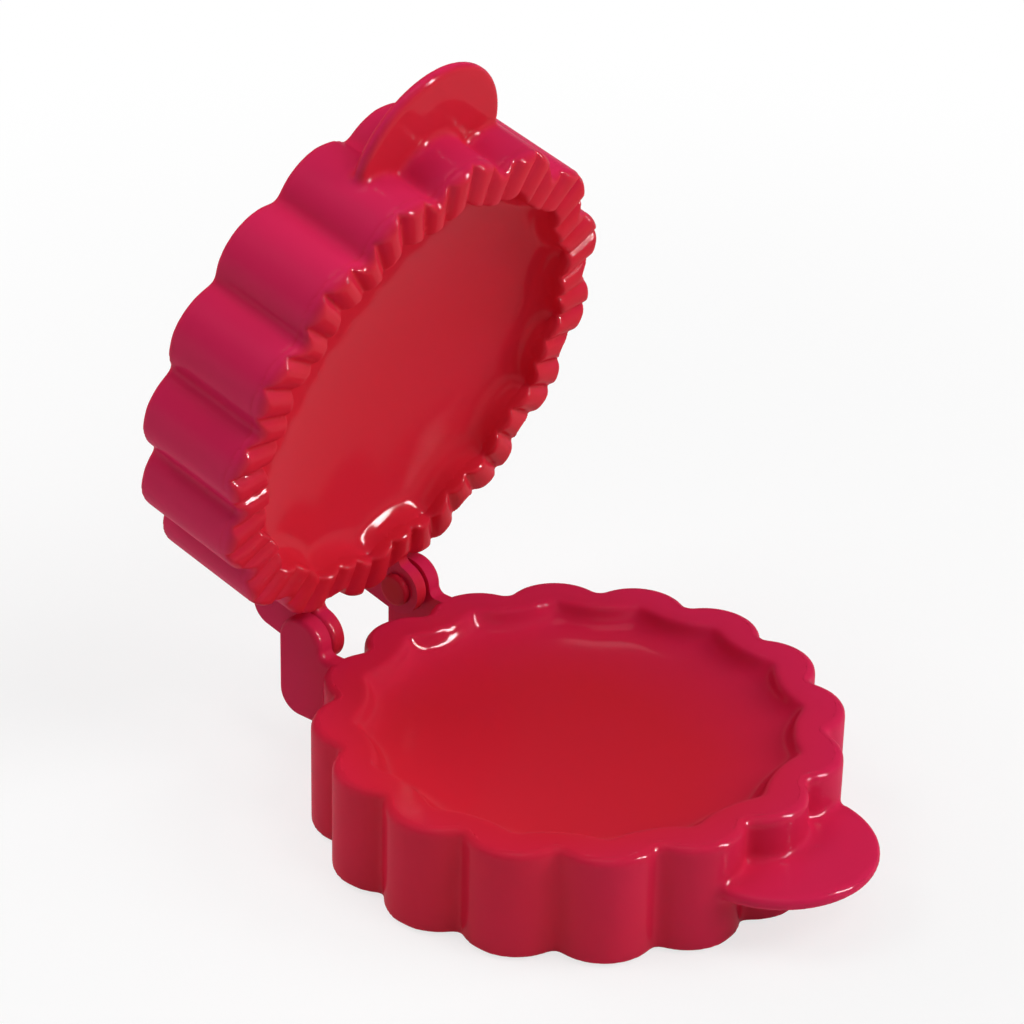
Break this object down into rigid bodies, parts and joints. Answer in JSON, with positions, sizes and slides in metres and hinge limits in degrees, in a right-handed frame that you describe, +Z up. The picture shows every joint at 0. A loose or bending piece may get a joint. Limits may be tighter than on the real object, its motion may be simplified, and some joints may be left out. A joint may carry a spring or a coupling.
{
  "type": "empanada press",
  "caption": "Round scalloped plastic dough press: a dished base and a hinged lid with radial crimping ridges, a finger tab on each half",
  "frame": {"origin": "centre of the foot ring's plane, on the base's own axis", "axes": "+Z up along the base's axis, -Y towards the finger tabs, +Y towards the hinge, the hinge axis along X"},
  "size_m": [0.1, 0.1393, 0.1408],
  "materials": {
    "base_plastic": "gloss moulded",
    "lid_plastic": "gloss moulded",
    "pin_plastic": "gloss moulded"
  },
  "bodies": {
    "base": {"base_skirt": "base_plastic", "base_rim": "base_plastic", "base_dish": "base_plastic", "base_finger_tab": "base_plastic", "base_hinge_lug_left": "base_plastic", "base_hinge_lug_right": "base_plastic", "hinge_pin_left": "pin_plastic", "hinge_pin_right": "pin_plastic"},
    "lid": {"lid_skirt": "lid_plastic", "lid_rim": "lid_plastic", "lid_dish": "lid_plastic", "lid_crimp_ring": "lid_plastic", "lid_finger_tab": "lid_plastic", "lid_hinge_lug_left": "lid_plastic", "lid_hinge_lug_right": "lid_plastic"}
  },
  "joints": [
    {"name": "lid_hinge", "type": "hinge", "parent": "base", "child": "lid", "pos_m": [0, 0.0543, 0.0232], "axis": [-1, 0, 0], "range_deg": [-74.9, 105.1]}
  ]
}
